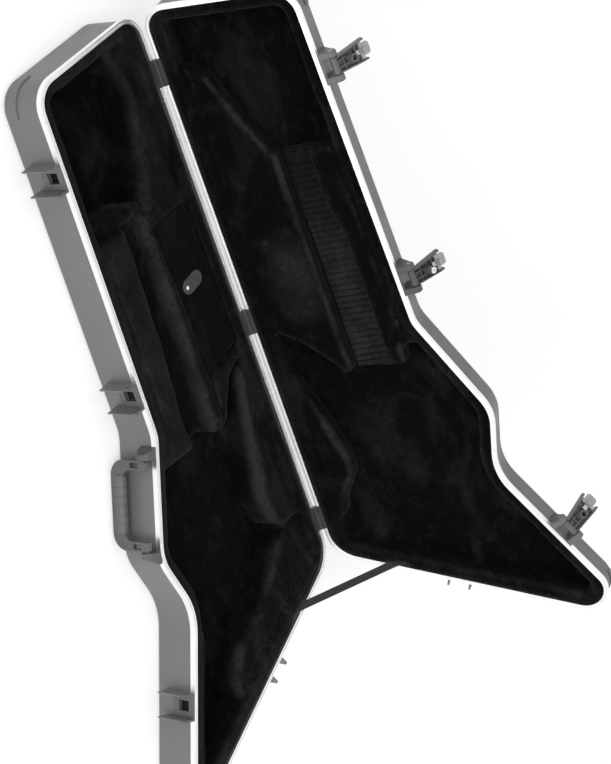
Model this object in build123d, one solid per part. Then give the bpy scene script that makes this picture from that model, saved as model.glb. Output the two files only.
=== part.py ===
"""Hard case for an electric guitar with an offset body and one long wing.

The case lies on its back shell with the lid standing open. Plan outline, rails, latches, hinges,
handle and the foam inside are all worked out from the driving dimensions below, in millimetres.

Working frame: the closed case, with the hinge line along Y at x = 0 and the rim plane at z = 0. The
body of the case lies towards -X and its head end towards +Y. The base is below the rim plane and the
closed lid above it. Two functions at the end of the driving dimensions put a piece in its place.
"""

from build123d import *
from math import cos, hypot, radians, sin
import os

os.makedirs("parts", exist_ok=True)

# Plan outline of the rails: distance from the hinge line, distance along it, corner radius
OUTLINE = (
    (2.5, 1038.0, 38.0),  # head end, hinge side
    (259.0, 1019.5, 48.0),  # head end, front
    (285.0, 422.5, 60.0),  # shoulder, where the front turns outwards
    (370.0, 238.0, 80.0),  # hip
    (343.0, 119.5, 100.0),  # waist
    (523.5, -216.0, 42.0),  # wing tip
    (2.5, -5.0, 65.0),  # butt end, hinge side
)
HEAD_WALL, FRONT_WALL, HANDLE_WALL, HIP_WALL, WING_WALL, BUTT_WALL, SPINE_WALL = range(7)

BASE_DEPTH = 88.0
LID_DEPTH = 57.0
SHELL = 3.0
SHELL_EDGE = 10.0  # outside radius along the bottom of each shell
LID_OPEN = 110.0  # degrees, as far as the stay strap lets the lid go

RAIL_WIDTH = 7.2
RAIL_HEIGHT = 9.8
RAIL_LIP = 3.0  # metal above the edge of the shell
RAIL_WALL = 1.5
RAIL_HEM = 4.8  # how far the inner side reaches down
RIM_GAP = 0.15  # each rail stops this far short of the rim plane
TONGUE = (2.6, 4.6, 1.8)  # inset of its two sides and its height
GROOVE_PLAY = 0.4

HINGE_STATIONS = (929.0, 473.0, 75.0)  # along the hinge line
HINGE_LENGTH = 46.0
HINGE_SPLIT = 11.3  # from a hinge's middle to the joint between two knuckles
KNUCKLE_PLAY = 0.2
KNUCKLE_R = 4.2
HINGE_PIN_R = 1.5
LEAF_DROP = 34.0
LEAF_THICK = 2.0
RIVET_R = 2.0
RIVETS_APART = 15.0
RIVET_DROP = 23.0
FIT = 0.05  # running clearance of a pin in its bore

LATCH_STATIONS = ((FRONT_WALL, 142.5), (FRONT_WALL, 521.5), (WING_WALL, 159.0))
LOCKING_LATCH = 1
FOOT_STATION = (BUTT_WALL, 332.0)
BUMPERS = ((243.0, 1008.0), (462.0, -161.0))  # middles of the raised bands at two outer corners
BUMPER_REACH = 38.0
BUMPER_PROUD = 2.5
BUMPER_SPAN = (0.62, 0.8)  # lower and upper edge as shares of the shell's depth

GUARD_INNER = 19.7  # half the gap that the lever folds into
GUARD_PROUD = 26.0
GUARD_THICK = 2.4
GUARD_FOOT = 4.5
GUARD_DROP = 60.0
CATCH_HALF = 23.5
CATCH_PROUD = 22.0
FOOT_INNER = 17.5
FOOT_THICK = 3.0
FOOT_PROUD = 22.0
LID_FOOT_PROUD = 15.0

PIVOT_OUT = 20.0
PIVOT_UP = 10.0
LATCH_HALF = 26.0
EAR = 11.3
LEVER_HALVES = (13.7, 17.6)  # half the lever's width at its pin and at its forked end
LEVER_OPEN = 146.0
LEVER_DEPTH = 7.5  # how far its side walls reach in from the pin
BARREL_R = 6.0
LATCH_PIN_R = 2.0
BOSS_DOWN = 28.5
BOSS_R = 7.0
LOCK_R = 5.4
LOCK_END = -2.5  # the lock's inner end, measured from the wall's face
TRIGGER_OUT = 17.2
TRIGGER_DOWN = 54.0
PADDLE_HALF = 10.5
PADDLE_LENGTH = 17.0

HANDLE_STATION = (HANDLE_WALL, 111.0)
HANDLE_OUT = 17.0
HANDLE_DOWN = 12.0
HANDLE_HALF = 75.0
HANDLE_DROP = 72.0
GRIP_UP = 19.0  # from the bow's lower edge to the middle of the grip

FLOOR_PAD = 8.0
BOLSTER_INSET = (4.6, 29.0)
BOLSTER_TOP = 5.0
BOLSTER_ROUND = 8.0
FOAM_TOP = 12.0  # the shaped foam stops this far below the rim plane
FOAM_ROUND = 7.0
NECK_TOP = 7.0
NECK_ROUND = 15.0  # along the inner bar's side towards the neck
CHANNEL_DEPTH = 35.0
SHELF_DEPTH = 20.0
LID_STRIP_DEPTH = 30.0
COMPARTMENT_BOARD = 4.0
TAB_SIZE = (49.0, 26.0, 2.6)
TAB_MIDDLE = (-79.0, 593.0)
TAB_TURN = 10.0

STRAP_STATION = (BUTT_WALL, 453.0)
STRAP_WIDTH = 14.0
STRAP_THICK = 1.6
STRAP_INSET = 8.3
STRAP_RISE = 0.3  # the fold's height over the rim plane
STRAP_TAIL = 29.0
STRAP_RIVET = 23.0  # along the tail

# Where the working frame stands in the part's own frame: the origin is on the base's underside
HINGE_X = 150.0
ORIGIN_ALONG = 420.0

BASE_PLACE = Location((HINGE_X, -ORIGIN_ALONG, BASE_DEPTH))
LID_PLACE = BASE_PLACE * Location((0, 0, 0), (0, LID_OPEN, 0))


def base_piece(name, shape):
    """Writes a piece of the base in its place."""
    export_step(BASE_PLACE * shape, f"parts/{name}.step")


def lid_piece(name, shape):
    """Writes a piece modelled on the closed lid, turned back to where the open lid stands."""
    export_step(LID_PLACE * shape, f"parts/{name}.step")


def over_rim(shape):
    """Turns a shape of the base upside down, onto the lid."""
    return mirror(shape, about=Plane.XY)


def block(low, high):
    """A box between two opposite corners."""
    size = [b - a for a, b in zip(low, high)]
    middle = [(a + b) / 2 for a, b in zip(low, high)]
    return Pos(*middle) * Box(*size)


def rod(radius, start, end):
    """A round bar between two points."""
    line = Vector(*end) - Vector(*start)
    return Plane(Vector(*start), z_dir=line) * extrude(Circle(radius), line.length)


def prism(points, z0, z1):
    """An upright prism on a plan outline given as distance from the hinge line, distance along it."""
    corners = [(-away, along) for away, along in points]
    return Pos(0, 0, z0) * extrude(make_face(Polyline(*corners, close=True)), z1 - z0)


# Plan geometry of the walls
def corner(index):
    away, along, _ = OUTLINE[index % 7]
    return -away, along


def wall_direction(index):
    (x0, y0), (x1, y1) = corner(index), corner(index + 1)
    length = hypot(x1 - x0, y1 - y0)
    return (x1 - x0) / length, (y1 - y0) / length


def inset_corner(index, inset):
    """The outline's corner after both its walls have moved inwards by the inset."""
    x, y = corner(index)
    ax, ay = wall_direction(index - 1)
    bx, by = wall_direction(index)
    turn = ax * by - ay * bx
    share = inset / (1 + ax * bx + ay * by)
    return x + share * (-ay - by), y + share * (ax + bx), turn


def outline(inset=0.0):
    """The plan outline moved inwards, as a face with round corners."""
    points = []
    radii = []
    for index in range(7):
        x, y, turn = inset_corner(index, inset)
        points.append((x, y))
        radii.append(OUTLINE[index][2] - inset if turn > 0 else OUTLINE[index][2] + inset)
    return make_face(FilletPolyline(*points, radius=radii, close=True))


def slab(inset, z0, z1):
    return Pos(0, 0, z0) * extrude(outline(inset), z1 - z0)


def ring(outer, inner, z0, z1):
    return slab(outer, z0, z1) - slab(inner, z0, z1)


def station(wall, distance):
    """The place on a wall's outer face at the rim: local X points outwards, Y along the wall."""
    x, y = corner(wall)
    dx, dy = wall_direction(wall)
    return Plane(origin=(x + dx * distance, y + dy * distance, 0), x_dir=(dy, -dx, 0), z_dir=(0, 0, 1))


def hinge_slot(middle):
    """Room in a rail for one hinge."""
    half = HINGE_LENGTH / 2 + 0.5
    return block((-RAIL_WIDTH - 3.5, middle - half, -RAIL_HEIGHT - 1), (1, middle + half, RAIL_HEIGHT + 1))


# Shells and rails
def shell(depth):
    outer = slab(RAIL_WALL, -depth, -RAIL_LIP)
    outer = fillet(outer.edges().group_by(Axis.Z)[0], SHELL_EDGE)
    inner = slab(RAIL_WALL + SHELL, SHELL - depth, 1)
    inner = fillet(inner.edges().group_by(Axis.Z)[0], SHELL_EDGE - SHELL)
    return outer - inner


def rail():
    """A channel that grips the edge of the shell, cut away where the hinges sit."""
    inner = RAIL_WALL + SHELL
    body = ring(0, RAIL_WALL, -RAIL_HEIGHT, -RAIL_LIP) + ring(inner, inner + RAIL_WALL, -RAIL_HEM, -RAIL_LIP)
    body += ring(0, RAIL_WIDTH, -RAIL_LIP, -RIM_GAP)
    for middle in HINGE_STATIONS:
        body -= hinge_slot(middle)
    return body


def bumpers(depth):
    """Raised bands moulded round the shell's outer corners."""
    z0, z1 = -depth * BUMPER_SPAN[1], -depth * BUMPER_SPAN[0]
    band = ring(RAIL_WALL - BUMPER_PROUD, RAIL_WALL + 1, z0, z1)
    patches = [band & prism_round(away, along, z0, z1) for away, along in BUMPERS]
    return patches[0] + patches[1]


def prism_round(away, along, z0, z1):
    """A round column over a plan point."""
    return Pos(-away, along, z0) * extrude(Circle(BUMPER_REACH), z1 - z0)


def guard(proud, half_gap, top_width, foot_width, z0, z1):
    """A pair of fins on a wall, upright inside and flared outside."""
    tip = half_gap + top_width
    foot = half_gap + foot_width
    section = Polyline((-3, half_gap), (proud, half_gap), (proud, tip), (-3, foot), close=True)
    fin = Pos(0, 0, z0) * extrude(make_face(section), z1 - z0)
    fin = fillet(fin.edges().filter_by(Axis.Z).group_by(Axis.X)[-1], 0.9)
    return fin + mirror(fin, about=Plane.XZ)


def feet(proud, drop):
    """Two fins at the butt end that reach up beside the rail, for standing the case on end."""
    fins = guard(proud, FOOT_INNER, FOOT_THICK, 2 * FOOT_THICK, -drop, -RAIL_HEIGHT - 0.2)
    beside = block((0.3, FOOT_INNER, -RAIL_HEIGHT - 0.2), (proud, FOOT_INNER + FOOT_THICK, -0.4))
    beside = chamfer(beside.edges().filter_by(Axis.Y).group_by(Axis.X)[-1].group_by(Axis.Z)[-1], 4)
    return station(*FOOT_STATION).location * (fins + beside + mirror(beside, about=Plane.XZ))


def hinge_rivets(middle):
    """Rivets of one leaf: a round head outside and the shank through leaf and shell."""
    face = -2.5 - RAIL_WALL
    rivets = []
    for shift in (-RIVETS_APART, 0.0, RIVETS_APART):
        place = (middle + shift, -RIVET_DROP)
        shank = rod(RIVET_R, (face - SHELL, *place), (face + LEAF_THICK, *place))
        head = rod(1.8 * RIVET_R, (face + LEAF_THICK, *place), (face + LEAF_THICK + 1.2, *place))
        head = fillet(head.edges().group_by(Axis.X)[-1], 0.8)
        rivets.append(shank + head)
    return rivets


def all_rivets():
    return [rivet for middle in HINGE_STATIONS for rivet in hinge_rivets(middle)]


def leaf(middle, knuckles, gaps):
    """A hinge leaf: the plate on the shell, the cap that fills the rail, and its knuckles."""
    half = HINGE_LENGTH / 2
    face = -2.5 - RAIL_WALL
    cap = block((-2.5 - RAIL_WIDTH, middle - half, -RAIL_HEIGHT), (0, middle + half, -RIM_GAP))
    plate = block((face, middle - half, -LEAF_DROP), (face + LEAF_THICK, middle + half, -RAIL_HEIGHT))
    plate = fillet(plate.edges().filter_by(Axis.X).group_by(Axis.Z)[0], 8)
    body = cap + plate
    body -= block((face - SHELL, middle - 99, -99), (face, middle + 99, -RAIL_LIP))
    body -= block((-99, middle - 99, -99), (face - SHELL, middle + 99, -RAIL_HEM))
    for start, end in gaps:
        body -= rod(KNUCKLE_R + 0.4, (0, middle + start, 0), (0, middle + end, 0))
    for start, end in knuckles:
        body += rod(KNUCKLE_R, (0, middle + start, 0), (0, middle + end, 0))
    for rivet in hinge_rivets(middle):
        body -= rivet
    return body


HINGE_END = HINGE_LENGTH / 2
NEAR_SPLIT, FAR_SPLIT = HINGE_SPLIT - KNUCKLE_PLAY, HINGE_SPLIT + KNUCKLE_PLAY
END_KNUCKLES = ((-HINGE_END, -FAR_SPLIT), (FAR_SPLIT, HINGE_END))
MIDDLE_KNUCKLE = ((-NEAR_SPLIT, NEAR_SPLIT),)
OUTER_GAPS = ((-HINGE_END - 0.5, -NEAR_SPLIT), (NEAR_SPLIT, HINGE_END + 0.5))
MIDDLE_GAP = ((-FAR_SPLIT, FAR_SPLIT),)


def hinges():
    pins = []
    for number, middle in enumerate(HINGE_STATIONS, start=1):
        ends = (0, middle - HINGE_END, 0), (0, middle + HINGE_END, 0)
        below = leaf(middle, END_KNUCKLES, MIDDLE_GAP) - rod(HINGE_PIN_R, *ends)
        above = over_rim(leaf(middle, MIDDLE_KNUCKLE, OUTER_GAPS)) - rod(HINGE_PIN_R + FIT, *ends)
        base_piece(f"hinge_{number}_base_leaf", below)
        lid_piece(f"hinge_{number}_lid_leaf", above)
        pins.append(rod(HINGE_PIN_R, *ends))
    base_piece("hinge_pins", Compound(children=pins))
    base_piece("base_hinge_rivets", Compound(children=all_rivets()))
    lid_piece("lid_hinge_rivets", Compound(children=[over_rim(rivet) for rivet in all_rivets()]))


# Catches on the base and over-centre latches on the lid
KEEPER_HOLE = block((-5, -9, -33), (6, 9, -11))


def keeper():
    """The catch plate between the guard fins, with arms that cap them."""
    plate = block((-RAIL_WALL, -19.3, -45), (3, 19.3, -RAIL_HEIGHT - 0.2))
    strip = block((0, -CATCH_HALF, -RAIL_HEIGHT - 0.2), (3, CATCH_HALF, -0.4))
    body = plate + strip - KEEPER_HOLE
    arm = block((0, GUARD_INNER, -RAIL_HEIGHT - 0.2), (CATCH_PROUD, CATCH_HALF, -0.4))
    arm = fillet(arm.edges().filter_by(Axis.Z).group_by(Axis.X)[-1], 1.5)
    return body + arm + mirror(arm, about=Plane.XZ)


def latch_bracket():
    """Two thick rounded ears on a plate, holding the lever's pin."""
    plate = block((-RAIL_WALL, -LATCH_HALF, RAIL_HEIGHT), (3, LATCH_HALF, 38))
    plate += block((0, -LATCH_HALF, 1), (3, LATCH_HALF, RAIL_HEIGHT))
    side = make_face(Polyline((0, 1), (PIVOT_OUT, 1), (PIVOT_OUT, 19), (3, 36), (0, 36), close=True))
    side += Pos(PIVOT_OUT, PIVOT_UP) * Circle(PIVOT_UP - 1)
    ear = Plane.XZ * extrude(side, EAR)
    ear = fillet(ear.edges().filter_by(GeomType.CIRCLE), 2.5)
    ears = Pos(0, LATCH_HALF, 0) * ear + Pos(0, EAR - LATCH_HALF, 0) * ear
    pin = rod(LATCH_PIN_R, (PIVOT_OUT, -99, PIVOT_UP), (PIVOT_OUT, 99, PIVOT_UP))
    return plate + ears - pin


def latch_pin():
    return rod(LATCH_PIN_R, (PIVOT_OUT, -LATCH_HALF, PIVOT_UP), (PIVOT_OUT, LATCH_HALF, PIVOT_UP))


def from_pivot(low, high):
    """A box of the latch measured from the lever's pin, with the lever hanging shut."""
    return block(
        (PIVOT_OUT + low[0], low[1], PIVOT_UP + low[2]), (PIVOT_OUT + high[0], high[1], PIVOT_UP + high[2])
    )


def pair(shape):
    return shape + mirror(shape, about=Plane.XZ)


def lever_half(drop):
    """Half the lever's width at a distance from its pin."""
    narrow, wide = LEVER_HALVES
    return narrow + (wide - narrow) * drop / TRIGGER_DOWN


def lever_side(start, end, thick, low, high):
    """A strip along the lever's slanting edge, between two distances from the pin."""
    a, b = lever_half(start), lever_half(end)
    face = make_face(Polyline((a - thick, -start), (a, -start), (b, -end), (b - thick, -end), close=True))
    return Pos(PIVOT_OUT + low, 0, PIVOT_UP) * (Plane.YZ * extrude(face, high - low))


def lever(locking):
    """The lever hanging shut: an open channel with side walls, ribs, a round boss and a forked end."""
    end = TRIGGER_DOWN - 1.5
    a, b = lever_half(0), lever_half(end)
    skin = make_face(Polyline((-a, 0), (a, 0), (b, -end), (-b, -end), close=True))
    skin = Pos(PIVOT_OUT + 0.5, 0, PIVOT_UP) * (Plane.YZ * extrude(skin, 2.5))
    side = lever_side(4, TRIGGER_DOWN + 2, 2.4, -LEVER_DEPTH, 3)
    side = fillet(side.edges().filter_by(Axis.Y).group_by(Axis.X)[0], 3)
    prong = lever_side(TRIGGER_DOWN - 8, TRIGGER_DOWN + 9, 3, -6, 3)
    prong = fillet(prong.edges().filter_by(Axis.Y).group_by(Axis.Z)[0], 2)
    rib = from_pivot((2 - LEVER_DEPTH, 4.5, -23), (1, 6.2, -4))
    cross = from_pivot((1 - LEVER_DEPTH, -14, -41), (1, 14, -39.4))
    cross += from_pivot((3 - LEVER_DEPTH, -13, -16), (1, 13, -14.4))
    barrel = rod(BARREL_R, (PIVOT_OUT, -13.4, PIVOT_UP), (PIVOT_OUT, 13.4, PIVOT_UP))
    boss_z = PIVOT_UP - BOSS_DOWN
    boss = rod(BOSS_R, (2.6, 0, boss_z), (PIVOT_OUT + 1, 0, boss_z))
    if locking:
        bore = rod(LOCK_R + FIT, (0, 0, boss_z), (99, 0, boss_z))
        skin -= bore
    else:
        bore = rod(4.6, (0, 0, boss_z), (PIVOT_OUT - 3, 0, boss_z))
    body = skin + pair(side) + pair(prong) + pair(rib) + cross + barrel + (boss - bore)
    body -= rod(LATCH_PIN_R + FIT, (PIVOT_OUT, -99, PIVOT_UP), (PIVOT_OUT, 99, PIVOT_UP))
    trigger_z = PIVOT_UP - TRIGGER_DOWN
    return body - rod(1.5 + FIT, (TRIGGER_OUT, -99, trigger_z), (TRIGGER_OUT, 99, trigger_z))


def trigger():
    """The release paddle between the prongs, with its own stub pins and a claw inside."""
    z = PIVOT_UP - TRIGGER_DOWN
    half = LEVER_HALVES[1] - 0.5
    pin = rod(1.5, (TRIGGER_OUT, -half, z), (TRIGGER_OUT, half, z))
    barrel = rod(3, (TRIGGER_OUT, -13, z), (TRIGGER_OUT, 13, z))
    paddle = block((TRIGGER_OUT - 1, -PADDLE_HALF, z - PADDLE_LENGTH), (TRIGGER_OUT + 3, PADDLE_HALF, z))
    paddle = fillet(paddle.edges().filter_by(Axis.X).group_by(Axis.Z)[0], 5)
    paddle = fillet(paddle.edges().group_by(Axis.X)[-1], 1.2)
    claw = block((TRIGGER_OUT - 9, -5, z - 2.5), (TRIGGER_OUT, 5, z + 1.5))
    return pin + barrel + paddle + claw


def trigger_spring():
    """A leaf spring on the inside of the lever, bearing on the claw's root."""
    blade = from_pivot((-4, -4, -50.6), (-3.4, 4, -42.4))
    foot = from_pivot((-4, -4, -42.4), (0.5, 4, -41.9))
    return blade + foot


def lock_cylinder():
    """The key lock through the middle latch: barrel, collar outside, cam inside and a key slot."""
    z = PIVOT_UP - BOSS_DOWN
    barrel = rod(LOCK_R, (LOCK_END, 0, z), (PIVOT_OUT + 4, 0, z))
    collar = rod(8, (PIVOT_OUT + 3.05, 0, z), (PIVOT_OUT + 5, 0, z))
    collar = fillet(collar.edges().group_by(Axis.X)[-1], 0.8)
    slot = block((PIVOT_OUT + 1.5, -0.7, z - 3.8), (PIVOT_OUT + 6, 0.7, z + 3.8))
    end_slot = block((LOCK_END - 1, -1.2, z - 3), (LOCK_END + 3, 1.2, z + 3))
    return barrel + collar - slot - end_slot


def latches():
    pins = []
    for number, (wall, distance) in enumerate(LATCH_STATIONS, start=1):
        place = station(wall, distance).location
        pivot = Axis((PIVOT_OUT, 0, PIVOT_UP), (0, -1, 0))
        locking = number == LOCKING_LATCH + 1
        base_piece(f"catch_{number}", place * keeper())
        lid_piece(f"latch_{number}_bracket", place * latch_bracket())
        lid_piece(f"latch_{number}_lever", place * lever(locking).rotate(pivot, LEVER_OPEN))
        lid_piece(f"latch_{number}_trigger", place * trigger().rotate(pivot, LEVER_OPEN))
        lid_piece(f"latch_{number}_spring", place * trigger_spring().rotate(pivot, LEVER_OPEN))
        if locking:
            lid_piece("lock_cylinder", place * lock_cylinder().rotate(pivot, LEVER_OPEN))
        pins.append(place * latch_pin())
    lid_piece("latch_pins", Compound(children=pins))


# Carrying handle, hanging by its own weight
def handle_frame():
    """A flat bow with round corners, a slot in each arm and an eye at each end."""
    low = -HANDLE_DOWN - HANDLE_DROP
    outer = Pos(0, (low + 6 - HANDLE_DOWN) / 2) * Rectangle(2 * HANDLE_HALF, HANDLE_DROP + 6)
    outer = fillet(outer.vertices().group_by(Axis.Y)[0], 28)
    outer = fillet(outer.vertices().group_by(Axis.Y)[-1], 5)
    gap_top = 20
    gap = Pos(0, (low + 25 + gap_top) / 2) * Rectangle(2 * HANDLE_HALF - 34, gap_top - low - 25)
    gap = fillet(gap.vertices().group_by(Axis.Y)[0], 16)
    slot = Pos(HANDLE_HALF - 8.5, -HANDLE_DOWN - 20) * Rectangle(8, 17)
    slots = slot + mirror(slot, about=Plane.YZ)
    bow = Plane.YZ * extrude(outer - gap - slots, 4.5, both=True)
    bow = fillet(bow.edges().group_by(Axis.X)[0] + bow.edges().group_by(Axis.X)[-1], 1.2)
    bow = Pos(HANDLE_OUT, 0, 0) * bow
    return bow - rod(3 + FIT, (HANDLE_OUT, -99, -HANDLE_DOWN), (HANDLE_OUT, 99, -HANDLE_DOWN))


def handle_grip():
    """The soft sleeve along the bow's long side, with shallow finger grooves."""
    middle = -HANDLE_DOWN - HANDLE_DROP + GRIP_UP
    section = Plane.XZ * RectangleRounded(18, 18, 8)
    sleeve = Pos(HANDLE_OUT, 0, middle) * extrude(section, 50, both=True)
    sleeve = fillet(sleeve.edges().group_by(Axis.Y)[0] + sleeve.edges().group_by(Axis.Y)[-1], 6)
    core = extrude(Plane.XZ * RectangleRounded(16.6, 16.6, 7.3), 2, both=True)
    groove = extrude(section, 1.1, both=True) - core
    for count in range(-2, 3):
        sleeve -= Pos(HANDLE_OUT, 15 * count, middle) * groove
    return sleeve - handle_frame()


def handle_bracket():
    """A wedge-shaped post outside each arm, let into the wall behind it."""
    inner = HANDLE_HALF + 0.5
    outer = inner + 20
    side = make_face(Polyline((-3, 0), (18, -1), (26, -6), (26, -18), (16, -26), (-3, -34), close=True))
    post = Pos(0, outer, 0) * (Plane.XZ * extrude(side, 20))
    plan = Polyline((-4, inner - 1), (-4, outer), (2, outer), (27, inner + 9), (27, inner - 1), close=True)
    post &= Pos(0, 0, -40) * extrude(make_face(plan), 50)
    post = Pos(0, 0, -0.4) * post
    return post - rod(3, (HANDLE_OUT, -99, -HANDLE_DOWN), (HANDLE_OUT, 99, -HANDLE_DOWN))


def handle_pin():
    start = HANDLE_HALF - 16
    return rod(3, (HANDLE_OUT, start, -HANDLE_DOWN), (HANDLE_OUT, HANDLE_HALF + 12, -HANDLE_DOWN))


def handle():
    place = station(*HANDLE_STATION).location
    bracket = handle_bracket()
    walls = slab(0, -RAIL_HEIGHT, 0) + slab(RAIL_WALL, -60, -RAIL_HEIGHT)
    base_piece("handle_bracket_butt", place * bracket - walls)
    base_piece("handle_bracket_head", place * mirror(bracket, about=Plane.XZ) - walls)
    base_piece("handle_frame", place * handle_frame())
    base_piece("handle_grip", place * handle_grip())
    pins = [place * handle_pin(), place * mirror(handle_pin(), about=Plane.XZ)]
    base_piece("handle_pins", Compound(children=pins))


# Foam inside
def floor_pad(depth):
    """The sheet of foam on the shell's floor."""
    low = SHELL - depth
    pad = slab(BOLSTER_INSET[0], low, low + FLOOR_PAD)
    return fillet(pad.edges().group_by(Axis.Z)[0], SHELL_EDGE - SHELL + 0.2)


def bolsters(depth):
    """The foam ring along the walls, rounded along its top inner edge."""
    outer, inner = BOLSTER_INSET
    body = ring(outer, inner, SHELL - depth + FLOOR_PAD, -BOLSTER_TOP)
    top = body.faces().sort_by(Axis.Z)[-1]
    return body.fillet(BOLSTER_ROUND, top.inner_wires()[0].edges())


def sector(first, last):
    """The part of the plan that belongs to the walls from first to last."""
    points = []
    for index in range(first, last + 2):
        x, y, _ = inset_corner(index, -5)
        points.append((-x, y))
    for index in range(last + 1, first - 1, -1):
        x, y, _ = inset_corner(index, BOLSTER_INSET[1] + 6)
        points.append((-x, y))
    return prism(points, -99, 0)


BOLSTER_WALLS = {
    "head": (HEAD_WALL, HEAD_WALL),
    "front": (FRONT_WALL, FRONT_WALL),
    "shoulder": (HANDLE_WALL, HIP_WALL),
    "wing": (WING_WALL, WING_WALL),
    "butt": (BUTT_WALL, BUTT_WALL),
    "spine": (SPINE_WALL, SPINE_WALL),
}


def foam(points, depth, top, radius=FOAM_ROUND):
    """A shaped block of foam on the floor pad, kept inside the ring and rounded along its top."""
    low = SHELL - depth + FLOOR_PAD
    body = prism(points, low, -top)
    body = fillet(body.edges().group_by(Axis.Z)[-1], radius)
    return body & slab(BOLSTER_INSET[1] + 0.2, low, -top)


# Plan outlines of the shaped foam: distance from the hinge line, distance along it
NECK_BAR_INNER = (
    (123, 742),
    (134, 742),
    (136, 600),
    (138, 500),
    (146, 352),
    (125, 352),
    (113, 500),
    (113, 600),
)
NECK_BAR_OUTER = (
    (178, 745),
    (262, 749),
    (296, 356),
    (206, 349),
    (203, 411),
    (189, 544),
    (178, 690),
)
NECK_FLOOR = (
    (134.3, 750),
    (177.7, 750),
    (177.7, 690),
    (188.7, 544),
    (202.7, 411),
    (205.7, 352),
    (146.3, 352),
    (138.3, 500),
    (136.3, 600),
)
NECK_SHELF = ((120, 743), (115, 758), (150, 772), (262, 776), (262, 750))
HEEL_PAD = (
    (32, 451),
    (116, 441),
    (124.5, 351.5),
    (148, 351.5),
    (150, 341),
    (108, 343),
    (68, 408),
    (32, 430),
)
WAIST_RIDGE = ((30, 420), (45, 400), (70, 281), (101, 179), (88, 122), (68, 105), (30, 105))
BUTT_FILLER = ((30, 98), (64, 98), (86, 90), (162, 33), (260, -12), (300, -60), (300, -220), (30, -60))
WING_PAD = ((325, 70), (337, 35), (393, -69), (430, -135), (540, -220), (480, -60), (350, 90))
COMPARTMENT_LID = ((36, 452.5), (116.5, 442.5), (112.5, 500), (112.5, 600), (120.5, 715.5), (36, 715.5))
COMPARTMENT_END = ((36, 713), (124, 713), (124, 717), (36, 717))
HEAD_LEDGE = (
    (30, 716.3),
    (124, 716.3),
    (124, 732),
    (112, 755),
    (92, 804),
    (83, 840),
    (68, 880),
    (57, 921),
    (63, 955),
    (77, 984),
    (80, 1010),
    (30, 1010),
)
LID_NECK_PAD = (
    (30, 930),
    (70, 907),
    (135, 762),
    (145, 751),
    (152, 345),
    (136, 340),
    (113, 366),
    (71, 412),
    (30, 437),
)
LID_NECK_STRIP = ((145.3, 751), (195, 751), (195, 661), (209, 579), (214, 337), (152.3, 345))
LID_FRONT_PAD = (
    (195.3, 750),
    (270, 750),
    (300, 371),
    (249, 380),
    (243, 344),
    (214.3, 344),
    (209.3, 579),
    (195.3, 661),
)
LID_WAIST_PAD = ((30, 370), (69, 265), (91, 180), (89, 148), (57, 97), (47, 66), (30, 60))


# Stay strap: a flat band over both rims, with tails that run down inside the butt walls
def strap_frame():
    """Where the strap folds over the base's rim, and the directions along the wall and to the lid."""
    x, y = corner(STRAP_STATION[0])
    dx, dy = wall_direction(STRAP_STATION[0])
    distance = STRAP_STATION[1]
    fold = Vector(x + dx * distance - dy * STRAP_INSET, y + dy * distance + dx * STRAP_INSET, STRAP_RISE)
    tilt = radians(90 - LID_OPEN / 2)
    return fold, Vector(dx, dy, 0), Vector(cos(tilt), 0, sin(tilt))


def strap_half():
    """The base's half of the taut strap: tail, fold and band up to half way."""
    fold, wall, along = strap_frame()
    across = (wall - along * wall.dot(along)).normalized()
    lean, turn = wall.dot(along), wall.dot(across)
    slant = STRAP_WIDTH / 2 * lean / turn
    half = STRAP_WIDTH / 2
    middle = -fold.dot(along)
    band = Polyline((slant, half), (-slant, -half), (middle, -half), (middle, half), close=True)
    band = Plane(fold, x_dir=along, z_dir=along.cross(across)) * make_face(band)
    tail_x, tail_z = -lean * STRAP_TAIL, -turn * STRAP_TAIL
    edge = half / turn
    tail = Polyline((-edge, 0), (edge, 0), (tail_x + edge, tail_z), (tail_x - edge, tail_z), close=True)
    tail = Plane(fold, x_dir=wall, z_dir=wall.cross(Vector(0, 0, 1))) * make_face(tail)
    crease = rod(STRAP_THICK / 2, tuple(fold - wall * edge), tuple(fold + wall * edge))
    body = extrude(band, STRAP_THICK / 2, both=True) + extrude(tail, STRAP_THICK / 2, both=True) + crease
    return body - strap_rivet(0.1)


def strap_rivet(play=0.0):
    """The rivet that holds the tail to the butt wall: a head outside, a spacer and a head inside."""
    fold, wall, along = strap_frame()
    lean = wall.dot(along)
    place = fold - wall * (lean * STRAP_RIVET) + Vector(0, 0, -STRAP_RIVET * (1 - lean * lean) ** 0.5)
    inwards = Vector(-wall.Y, wall.X, 0)

    def disc(radius, start, end):
        line = [tuple(place + inwards * (inset - STRAP_INSET)) for inset in (start, end)]
        return rod(radius, *line)

    near, far = STRAP_INSET - STRAP_THICK / 2, STRAP_INSET + STRAP_THICK / 2
    if play:
        return disc(2 + play, near - 1, far + 1)
    shank = disc(2, RAIL_WALL - 0.5, far + 0.5)
    heads = disc(4, 0.3, RAIL_WALL) + disc(4.5, far + 0.1, far + 1.3)
    return shank + heads + disc(4.5, RAIL_WALL + SHELL, near - 0.1)


def strap_notch():
    """Room for the strap's tail in the butt bolster."""
    fold, wall, _ = strap_frame()
    corner_low = (-STRAP_TAIL * 1.15, -STRAP_INSET, -24)
    room = block(corner_low, (13, 3.4, 1))
    return Plane(fold, x_dir=wall, z_dir=(0, 0, 1)).location * room


def stay_strap():
    """The whole strap at the full opening: the two halves mirror each other."""
    half = strap_half()
    return half + Location((0, 0, 0), (0, LID_OPEN, 0)) * over_rim(half)


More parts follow.
